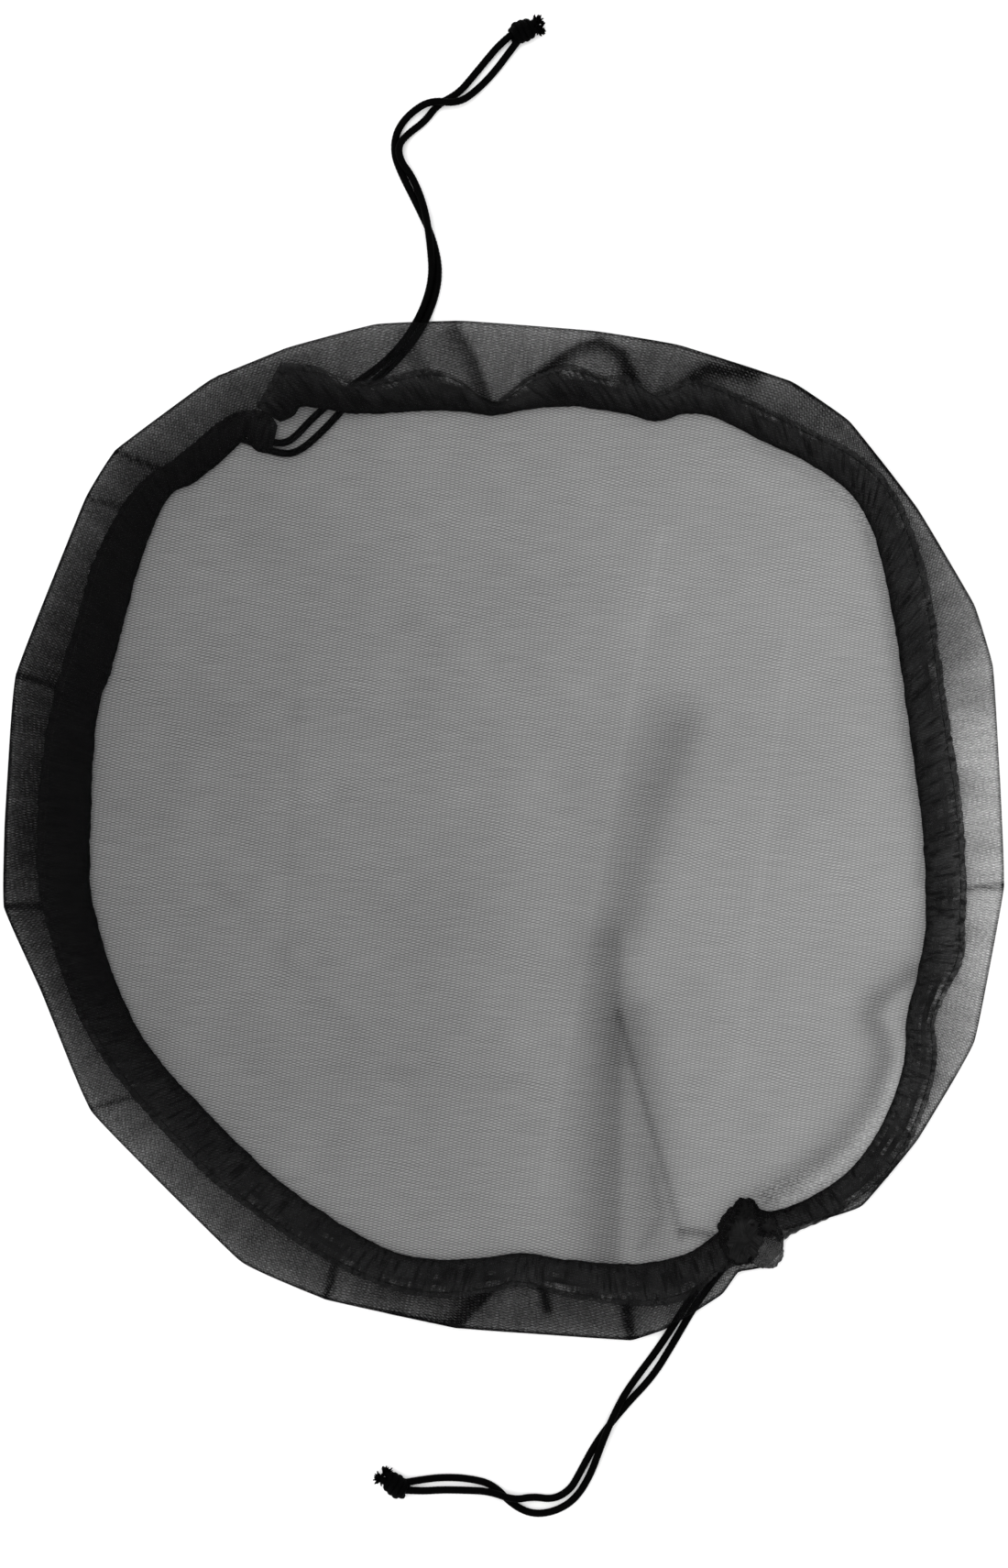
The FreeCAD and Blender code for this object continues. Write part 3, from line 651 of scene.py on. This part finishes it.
def bunched_corner():
    """Five crumpled lobes, set into one another."""
    bm = bmesh.new()
    bm.loops.layers.uv.verify()
    slack_layer = bm.verts.layers.float.new("slack")
    for middle, reach, loose, crumple, detail in LOBES:
        made = bmesh.ops.create_icosphere(bm, subdivisions=detail, radius=1.0, calc_uvs=True)
        for vertex in made["verts"]:
            spot = vertex.co.copy()
            shift = Vector((middle[0], middle[1], 0))
            coarse = noise.noise(spot * 1.7 + shift)
            folds = 1 - 2 * abs(noise.noise(spot * 2.4 + shift * 0.7))
            fine = noise.noise(spot * 7.0 + shift)
            out = 1 + crumple * (0.12 * coarse + 0.09 * folds + 0.05 * fine)
            high = 0.9 + crumple * (0.20 * folds + 0.22 * fine)
            vertex.co = Vector((
                middle[0] + spot.x * out * reach[0],
                middle[1] + spot.y * out * reach[1],
                max(BUNCH_CLEAR, middle[2] + spot.z * high * reach[2]),
            )) * MM
            flank = min(1.0, 0.5 + 1.2 * abs(spot.z))
            vertex[slack_layer] = loose * flank * (1 + 0.4 * coarse - 0.9 * max(0.0, folds - 0.55))
    piece = finish_piece("bunched_corner", bm, hem_net, "root")
    return piece


bunch = bunched_corner()


# ---- Net: crown, rim fold and skirt ----
# One round of fine black polyester net with small lens-shaped holes. The crown lies over
# everything. At the rim the net is folded under, and the skirt runs back in to the casings.

RIM = [
    (-131.2, 203.6), (-96.4, 217.7), (-57.4, 228.2), (-18.5, 229.6), (41.0, 224.9), (77.9, 218.9),
    (129.2, 202.3), (154.8, 184.9), (185.5, 145.4), (211.2, 101.9), (219.4, 75.2), (222.4, 24.0),
    (224.6, -24.4), (211.2, -94.9), (185.5, -138.0), (160.4, -168.2), (135.3, -175.9),
    (125.2, -179.0), (125.4, -187.1), (118.0, -194.6), (109.8, -196.2), (105.0, -196.8),
    (98.1, -207.0), (82.6, -216.8), (71.8, -223.0), (57.4, -227.8), (20.5, -225.3), (-20.5, -222.4),
    (-80.0, -209.6), (-117.4, -193.8), (-186.2, -125.0), (-207.6, -70.8), (-224.8, -33.6),
    (-224.0, 3.5), (-219.9, 69.9), (-187.2, 151.4), (-174.8, 171.4),
]


CORNER_SHARE = 0.07  # of each side, taken up by the rounding of a corner


def around_rim(angle):
    """The rim's distance from the middle, in the directions given."""
    corners = np.array(RIM + RIM[:2], float)
    guides = []
    for start, end in zip(corners, corners[1:]):
        guides.append((*(start + (end - start) * CORNER_SHARE), 0))
        guides.append((*(end + (start - end) * CORNER_SHARE), 0))
    dense = smooth_line(guides, 0.8)
    directions = np.arctan2(dense[:, 1], dense[:, 0])
    order = np.argsort(directions)
    return np.interp(
        angle, directions[order], np.hypot(dense[:, 0], dense[:, 1])[order], period=2 * math.pi
    )


def around_casing(angle):
    """The distance from the middle to the casings' outer edge, in the directions given."""
    edge = np.vstack([left_outer, right_outer])
    directions = np.arctan2(edge[:, 1], edge[:, 0])
    bins = np.linspace(-math.pi, math.pi, 361)
    reach = np.full(360, np.nan)
    for index in range(360):
        near = edge[(directions >= bins[index]) & (directions < bins[index + 1])]
        if len(near):
            reach[index] = np.hypot(near[:, 0], near[:, 1]).max()
    middle = (bins[:-1] + bins[1:]) / 2
    known = ~np.isnan(reach)
    return np.interp(angle, middle[known], reach[known], period=2 * math.pi)


CROWN_SHARE = 0.86
SKIRT_HOLD = 3.0

# Folds in the crown: each fold's line, its width to the left and to the right of the line, its
# height, and how much of the light it takes beyond the plain net. That extra cover is partly the
# net lying doubled in the fold and partly painted shade, spread wider on one side of the line.
CROWN_FOLDS = [
    ([(80, 46), (67, 12), (59, -16), (57, -34)], 9, 15, 1.6, 0.075),
    ([(50, -50), (50, -120), (49, -192)], 3.4, 15, 2.0, 0.110),
    ([(56, -44), (56, -100)], 6, 10, 0.8, 0.025),
    ([(58, -84), (65, -130), (67, -182)], 9, 11, 0.7, 0.070),
    ([(51, -80), (62, -118), (74, -160), (79, -182)], 1.9, 1.7, 0.6, 0.085),
    ([(80, -178), (93, -179.5)], 1.8, 2.2, 0.3, 0.18),
    ([(66, -150), (70, -172), (60, -186)], 2.5, 1.6, 0.4, 0.05),
    # Painted shadow: the next four entries darken the crown with the shadow that the right casing
    # casts on the table under it, a soft band inside the casing and a thin line along its inner
    # edge.
    ([(189, -30), (182, -64)], 6, 4.5, 0.8, 0.04),
    ([(186.5, -22), (186, 0), (184, 18), (180, 42), (175, 78), (170, 106), (163, 132)],
     3.0, 2.5, 0.1, 0.07),
    ([(163, 132), (154, 148), (128, 165), (112, 173)], 2.0, 2.5, 0.1, 0.05),
    ([(182, -64), (169, -74), (164.6, -82), (169.2, -92), (170.5, -102), (164, -122.6),
      (151.4, -138), (136, -150.5), (118, -163.5)], 4.5, 6.5, 1.2, 0.12),
    # Painted light: a lighter strip between that shadow band and the casing.
    ([(188, -64), (176, -73), (171.6, -82), (175.6, -91), (177, -102), (170, -125),
      (156, -143), (140, -156), (122, -168.5)], 2.5, 2.5, 0.2, -0.035),
    ([(-40, -40), (-30, -150)], 34, 40, 0.5, 0.015),
    ([(17, -160), (40, -30), (42, -22), (71, 136)], 1.6, 1.6, 0.3, -0.020),
    ([(104, -110), (128, 90)], 1.8, 1.8, 0.3, -0.015),
    ([(-98, -70), (-92, 70)], 2.0, 2.0, 0.2, 0.012),
    ([(-130, -20), (-60, -96)], 3.0, 6.0, 0.3, 0.014),
    ([(-70, -104), (10, -112)], 3.0, 5.0, 0.3, 0.014),
    ([(-150, 60), (60, 40)], 8.0, 20.0, 0.3, 0.008),
]
# Pleats in the skirt: each pleat's line, its two widths, and how much of the light it takes
# beyond the plain skirt, which is less than none where the net is drawn thin. The dark line is
# the net lying doubled, and the wider side adds painted shade beside it.
SKIRT_PLEATS = [
    ([(-221, 71), (-180, 61)], 1.1, 1.1, 0.36), ([(-225, -33), (-200, -33)], 1.1, 1.1, 0.36),
    ([(-186, -124), (-150, -114)], 1.2, 1.2, 0.32), ([(-80, -209), (-76, -194)], 1.6, 1.8, 0.4),
    ([(224, -24), (204, -25.5)], 1.2, 1.2, 0.5), ([(-174, 171), (-150, 161)], 1.2, 1.4, 0.40),
    ([(-186, 150), (-168, 145)], 1.0, 1.6, 0.26),
    ([(-21, 226), (-13, 211), (-5.5, 189)], 1.6, 6.0, 0.42),
    ([(-4, 190), (17, 207), (33, 218), (43, 220.5), (53, 215), (60, 200), (64.5, 185)],
     1.8, 4.5, 0.48),
    ([(70, 187), (80, 199), (91, 208), (112, 205)], 3.6, 3.0, 0.38),
    ([(-44, 224), (-30, 200)], 1.4, 5.0, 0.16),
    ([(-20, -221), (2, -198)], 7.0, 1.2, 0.34), ([(16, -196), (20, -214)], 1.3, 2.4, 0.4),
    ([(-50, -216.5), (-22, -221)], 3.0, 3.0, 0.22), ([(2, -213), (12, -206)], 6.0, 6.0, -0.07),
    ([(57, -228), (54, -204)], 2.4, 2.4, 0.4), ([(129, 203), (190, 146)], 2.5, 3.0, 0.16),
]
# How much of the light the skirt takes, by direction in degrees.
SKIRT_COVER = [
    (-180, 0.81), (-160, 0.66), (-145, 0.45), (-112, 0.56), (-104, 0.70), (-92, 0.68), (-80, 0.62),
    (-70, 0.58), (-40, 0.5), (-32, 0.44), (-24, 0.37), (-8, 0.28), (10, 0.29), (18, 0.38),
    (30, 0.52), (45, 0.63), (60, 0.60), (72, 0.61), (79, 0.44), (85, 0.37), (100, 0.44),
    (118, 0.58), (140, 0.64), (160, 0.74), (180, 0.81),
]
CROWN_COVER = 0.592
CROWN_LEAN = -0.00036  # the crown takes a little more of the light towards the left, per millimetre
# The same for the crown's outer margin, by direction in degrees.
MARGIN_COVER = [
    (-50, CROWN_COVER), (-30, 0.48), (-8, 0.40), (10, 0.40), (20, 0.49), (35, 0.57),
    (45, CROWN_COVER),
]


def fold_reach(x, y, line, left, right):
    """How strongly a fold shows at each spot: 1 on its line, fading to each side."""
    strength = np.zeros_like(x)
    for start, end in zip(line, line[1:]):
        start, end = np.array(start, float), np.array(end, float)
        length = np.linalg.norm(end - start)
        ahead = (end - start) / length
        run = (x - start[0]) * ahead[0] + (y - start[1]) * ahead[1]
        off = (y - start[1]) * ahead[0] - (x - start[0]) * ahead[1]
        over = np.maximum(np.maximum(-run, run - length), 0)
        wide = np.where(off > 0, left, right)
        near = np.exp(-(off / wide) ** 2 - (over / (0.5 * (left + right))) ** 2)
        strength = np.maximum(strength, near)
    return strength


NET_AROUND, NET_OUT = 720, 136
NET_SEAM = 1e-6  # in metres
MARGIN_WIDE = 30


def net_piece(material):
    """The whole net: a round sheet whose edge is turned back under the crown."""
    bm = bmesh.new()
    uv = bm.loops.layers.uv.verify()
    bmesh.ops.create_grid(bm, x_segments=NET_AROUND, y_segments=NET_OUT, size=0.5, calc_uvs=True)
    cover_layer = bm.verts.layers.float.new("cover")
    grain_layer = bm.verts.layers.float.new("grain")
    shares = np.array([vertex.co[:2] for vertex in bm.verts]) + 0.5
    angle = (shares[:, 0] * 2 - 1) * math.pi
    out = shares[:, 1]
    rim, casing = around_rim(angle), around_casing(angle)
    casing = np.minimum(casing, rim - 2.0)
    on_crown = out <= CROWN_SHARE
    crown = np.clip(out / CROWN_SHARE, 0, 1)
    back = np.clip((out - CROWN_SHARE) / (1 - CROWN_SHARE), 0, 1)
    reach = np.where(on_crown, crown * rim, rim - back * (rim - casing + SKIRT_HOLD))
    x, y = reach * np.cos(angle), reach * np.sin(angle)
    flat = np.where(on_crown, reach, 2 * rim - reach)
    flat_x, flat_y = flat * np.cos(angle), flat * np.sin(angle)

    zero = np.zeros_like(x)
    slow = ruffle(np.column_stack([x, y, zero]), 70.0, 2.0)
    soft = ruffle(np.column_stack([x, y, zero]), 24.0, 9.0)
    to_rim = rim - reach
    level = 4.6 + 2.6 * np.clip(to_rim / 14, 0, 1) - 2.6 * np.clip((to_rim - 45) / 90, 0, 1)
    level = level + 0.7 * slow * np.clip(to_rim / 30, 0, 1) + 0.35 * soft
    raised = np.exp(-((x + 92) / 26) ** 2 - ((y - 196) / 20) ** 2)
    level = level + 3.4 * raised
    thick = CROWN_COVER + CROWN_LEAN * x + 0.012 * slow + 0.008 * soft
    for line, left, right, high, more in CROWN_FOLDS:
        strength = fold_reach(x, y, line, left, right)
        level = level + high * strength * np.clip(to_rim / 25, 0, 1)
        thick = thick + more * strength
    side = np.degrees(angle)
    margin = np.interp(side, *zip(*MARGIN_COVER))
    near_rim = np.clip((MARGIN_WIDE - to_rim) / 8, 0, 1)
    ring = 200 * np.column_stack([np.cos(angle), np.sin(angle), to_rim / 900])
    gathers, tucks = ruffle(ring, 4.0, 13.0), ruffle(ring, 10.0, 21.0)
    thick = thick + (margin - CROWN_COVER + 0.03 * gathers) * near_rim

    low = 3.7 - 1.5 * back + 0.35 * soft
    under = np.interp(side, *zip(*SKIRT_COVER)) + 0.05 * soft - 0.03 + 0.09 * back**2
    under = under + 0.10 * gathers * (0.4 + 0.6 * back) + 0.06 * tucks
    for line, left, right, more in SKIRT_PLEATS:
        strength = fold_reach(x, y, line, left, right)
        low = low + 0.9 * strength
        under = under + more * strength
    height = np.where(on_crown, level, low)
    cover = np.where(on_crown, thick, under)
    cover = cover + 0.45 * np.exp(-(to_rim / 1.1) ** 2)
    grain = np.where(on_crown, near_rim, 1)
    for vertex, spot, taken, rough in zip(bm.verts, zip(x, y, height), cover, grain):
        vertex.co = [value * MM for value in spot]
        vertex[cover_layer] = taken
        vertex[grain_layer] = rough
    for vertex, across, along in zip(bm.verts, flat_x, flat_y):
        for loop in vertex.link_loops:
            loop[uv].uv = (across * MM, along * MM)
    bmesh.ops.remove_doubles(bm, verts=bm.verts, dist=NET_SEAM)
    bmesh.ops.recalc_face_normals(bm, faces=bm.faces)
    if sum(face.normal.z for face in bm.faces) < 0:
        bmesh.ops.reverse_faces(bm, faces=bm.faces)
    return finish_piece("hood_net", bm, material, "root")


COLUMN_PITCH = 2.0  # millimetres from one column of holes to the next
HOLE_PITCH = 1.2  # and along a column, where each column is shifted by half a hole
HOLE_DEPTH = 0.22  # how far the holes and the threads stand out from the mean cover


def knitted_net():
    """Warp-knitted net. Its flat holes stand in leaning columns, each column shifted by half a
    hole, and the attribute cover says how much of the light the threads take."""
    material, nodes, links, shader = new_material("knitted_net")
    math_node = math_maker(nodes, links)
    flat = add_node(nodes, "ShaderNodeUVMap")
    split = add_node(nodes, "ShaderNodeSeparateXYZ")
    links.new(flat.outputs["UV"], split.inputs[0])
    wander = add_node(nodes, "ShaderNodeTexNoise", input_2=30.0, input_3=2.0)
    links.new(flat.outputs["UV"], wander.inputs["Vector"])
    slip = math_node("MULTIPLY", wander.outputs["Fac"], 4.0 * MM)
    leaned = math_node("MULTIPLY_ADD", split.outputs[1], -0.17, split.outputs[0])
    column = math_node("MULTIPLY", math_node("ADD", leaned, slip), math.pi / (COLUMN_PITCH * MM))
    tilted = math_node("MULTIPLY_ADD", split.outputs[0], -0.02, split.outputs[1])
    row = math_node("MULTIPLY", math_node("ADD", tilted, slip), 2 * math.pi / (HOLE_PITCH * MM))
    mesh_holes = math_node("MULTIPLY", math_node("COSINE", column), math_node("COSINE", row))
    ribs = math_node("COSINE", math_node("MULTIPLY", column, 2.0))
    openness = math_node("MULTIPLY_ADD", ribs, 0.16, mesh_holes)
    fuzz = add_node(nodes, "ShaderNodeTexNoise", input_2=2200.0, input_3=1.0)
    links.new(flat.outputs["UV"], fuzz.inputs["Vector"])
    uneven = math_node("MULTIPLY_ADD", fuzz.outputs["Fac"], 0.9, math_node("ADD", openness, -0.45))
    stretch = add_node(nodes, "ShaderNodeMapping")
    stretch.inputs["Scale"].default_value = (60.0, 700.0, 1.0)
    stretch.inputs["Rotation"].default_value = (0, 0, 0.03)
    links.new(flat.outputs["UV"], stretch.inputs["Vector"])
    drawn = add_node(nodes, "ShaderNodeTexNoise", input_2=1.0, input_3=2.0)
    links.new(stretch.outputs["Vector"], drawn.inputs["Vector"])
    uneven = math_node("MULTIPLY_ADD", math_node("ADD", drawn.outputs["Fac"], -0.5), 0.55, uneven)
    crumbs = add_node(nodes, "ShaderNodeTexNoise", input_2=650.0, input_3=3.0, input_4=0.75)
    links.new(flat.outputs["UV"], crumbs.inputs["Vector"])
    grain = add_node(nodes, "ShaderNodeAttribute", attribute_name="grain")
    rough = math_node("MULTIPLY", grain.outputs["Fac"], 3.6)
    crumbled = math_node("MULTIPLY", math_node("ADD", crumbs.outputs["Fac"], -0.5), rough)
    uneven = math_node("ADD", uneven, crumbled)
    cover = add_node(nodes, "ShaderNodeAttribute", attribute_name="cover")
    alpha = add_node(nodes, "ShaderNodeMath", operation="MULTIPLY_ADD", input_1=-HOLE_DEPTH)
    alpha.use_clamp = True
    links.new(uneven, alpha.inputs[0])
    links.new(cover.outputs["Fac"], alpha.inputs[2])
    links.new(alpha.outputs[0], shader.inputs["Alpha"])
    tint = add_node(nodes, "ShaderNodeValToRGB")
    tint.color_ramp.elements[0].color = (0.0010, 0.0010, 0.0011, 1)
    tint.color_ramp.elements[1].color = (0.0050, 0.0050, 0.0052, 1)
    links.new(fuzz.outputs["Fac"], tint.inputs["Fac"])
    links.new(tint.outputs["Color"], shader.inputs["Base Color"])
    bump = add_node(nodes, "ShaderNodeBump", input_0=0.4, input_1=0.0002)
    links.new(openness, bump.inputs["Height"])
    links.new(bump.outputs["Normal"], shader.inputs["Normal"])
    shader.inputs["Roughness"].default_value = 0.8
    shader.inputs["Specular IOR Level"].default_value = 0.02
    return material


net = net_piece(knitted_net())
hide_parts("crown_net", "skirt_net")


# ---- Drawcords inside the casings ----
# Each cord runs doubled through its casing, and its fold is held at the blind end. Its two
# runs go on inside the first stretch of the free strands, so that a pulled tail leaves no gap.

LANES = (0.32, 0.60)  # where the two runs lie in the casing's width
LANE_LEVEL = 2.3
LANE_END = 0.97  # the fold, as a share of the casing's length
CLIMB_SPOT, CLIMB_REACH = (-84, 199), 20


def casing_lane(inner, outer, share, first):
    """Points along a casing, at a share of its width, from the share first of its length."""
    last = len(inner) - 1
    rows = range(int(first * last), int(LANE_END * last) + 1, 8)
    return [(*(inner[row] + (outer[row] - inner[row]) * share)[:2], LANE_LEVEL) for row in rows]


def hidden_cord(name, inner, outer, first, strands, overlap, node, climb):
    """A doubled cord: out along one lane, round the fold, and back along the other. Both ends
    lie inside the first stretch of the free strands, as far as overlap says."""
    lanes = [casing_lane(inner, outer, share, first) for share in LANES]
    tails = []
    for label in strands:
        line = free_strands[label][1]
        tails.append([tuple(spot) for spot in line[: int(overlap / STRAND_STEP)][::8]][::-1])
    route = tails[0] + lanes[0] + lanes[1][::-1] + tails[1][::-1]
    raised = []
    for x, y, z in route:
        away = math.hypot(x - CLIMB_SPOT[0], y - CLIMB_SPOT[1])
        raised.append((x, y, z + climb * max(0, 1 - away / CLIMB_REACH)))
    line = smooth_line(raised, 1.4)
    piece = plaited_tube(name, line, CORD - 0.3, 10, cord_black, "root")
    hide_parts(node)


hidden_cord(
    "drawcord_run_left", left_inner, left_outer, 0.035,
    ("top_strand_inner", "top_strand_outer"), 50.0, "drawcord_left", 0,
)
hidden_cord(
    "drawcord_run_right", right_inner, right_outer, 0.05,
    ("bottom_strand_inner", "bottom_strand_outer"), 30.0, "drawcord_right", 4.0,
)


# ---- Hem stitching and tacks ----
# Black sewing thread: a row of lockstitch along each hem, a bar of close stitches across each
# open end, and a short post of stitches inside the fold of each cord.

def thread_polyester():
    """Spun black thread, a little greyer than the cord."""
    material, nodes, links, shader = new_material("thread_polyester")
    place = add_node(nodes, "ShaderNodeTexCoord")
    twist = add_node(nodes, "ShaderNodeTexNoise", input_2=1800.0, input_3=2.0)
    links.new(place.outputs["Object"], twist.inputs["Vector"])
    tint = add_node(nodes, "ShaderNodeValToRGB")
    tint.color_ramp.elements[0].color = (0.004, 0.004, 0.004, 1)
    tint.color_ramp.elements[1].color = (0.018, 0.018, 0.018, 1)
    links.new(twist.outputs["Fac"], tint.inputs["Fac"])
    links.new(tint.outputs["Color"], shader.inputs["Base Color"])
    shader.inputs["Roughness"].default_value = 0.6
    shader.inputs["Specular IOR Level"].default_value = 0.06
    return material


thread_black = thread_polyester()
STITCH = 3.0
STITCH_GAP = 0.7
STITCH_THICK = 0.45
STITCH_SHARE = 0.84  # where the row lies in the casing's width
BAR_PITCH = 0.55
BAR_THICK = 0.5
BAR_HALF = 0.9


def add_stitch(bm, start, end, thick):
    """One stitch: a short rounded bar between two spots, in millimetres."""
    start, end = Vector(start), Vector(end)
    spine = end - start
    turn = Vector((0, 0, 1)).rotation_difference(spine).to_matrix().to_4x4()
    turn.translation = (start + end) / 2 * MM
    made = bmesh.ops.create_cone(
        bm, cap_ends=True, segments=6, radius1=thick / 2 * MM, radius2=thick / 2 * MM,
        depth=spine.length * MM, matrix=turn,
    )
    rims = {edge for vertex in made["verts"] for edge in vertex.link_edges
            if len(edge.link_faces) == 2 and any(len(face.verts) > 4 for face in edge.link_faces)}
    bmesh.ops.bevel(
        bm, geom=list(rims), offset=thick * 0.22 * MM, segments=1, affect="EDGES", profile=0.5,
        material=-1,
    )


def stitch_row(name, inner, outer, lift, node):
    """A row of lockstitch along a casing."""
    bm = bmesh.new()
    middle = inner + (outer - inner) * STITCH_SHARE
    run = run_along(middle)
    lifts = lift(run, run[-1])
    for start in np.arange(4, run[-1] - 6, STITCH + STITCH_GAP):
        ends = []
        for along in (start, start + STITCH):
            row = int(np.argmin(np.abs(run - along)))
            ends.append((middle[row, 0], middle[row, 1], CASING_TALL + 0.15 + lifts[row]))
        add_stitch(bm, *ends, STITCH_THICK)
    piece = finish_piece(name, bm, thread_black, "root")
    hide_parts(node)


stitch_row("hem_stitches_left", left_inner, left_outer, stays_low, "hem_thread_left")
stitch_row("hem_stitches_right", right_inner, right_outer, climbs_at_end, "hem_thread_right")


def bar_tack(name, start, end, level, node):
    """Close zigzag stitches across an open end."""
    bm = bmesh.new()
    start, end = np.array(start, float), np.array(end, float)
    ahead = unit(end - start)
    aside = np.array([-ahead[1], ahead[0]])
    count = int(np.linalg.norm(end - start) / BAR_PITCH)
    for index in range(count):
        base = start + ahead * BAR_PITCH * index
        near, far = base - aside * BAR_HALF, base + aside * BAR_HALF + ahead * 0.25
        add_stitch(bm, (*near, level), (*far, level), BAR_THICK)
    piece = finish_piece(name, bm, thread_black, "root")
    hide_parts(node)


bar_tack("bar_tack_left", (-104.4, 172.0), (-103.4, 181.0), 4.7, "end_tack_left")
bar_tack("bar_tack_right", (117.0, -172.0), (122.4, -181.6), 4.7, "end_tack_right")


def post_tack(name, x, y, low, high, node):
    """A post of thread, wound round itself."""
    spots = [
        (x + 0.9 * math.cos(index * 1.3), y + 0.9 * math.sin(index * 1.3),
         low + (high - low) * index / 34)
        for index in range(35)
    ]
    piece = plaited_tube(name, smooth_line(spots, 0.3), 0.7, 8, thread_black, "root")
    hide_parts(node)


post_tack("fold_tack_left_thread", 98.0, -186.0, 0.6, 4.0, "fold_tack_left")
post_tack("fold_tack_right_thread", -88.0, 199.0, 5.0, 8.0, "fold_tack_right")
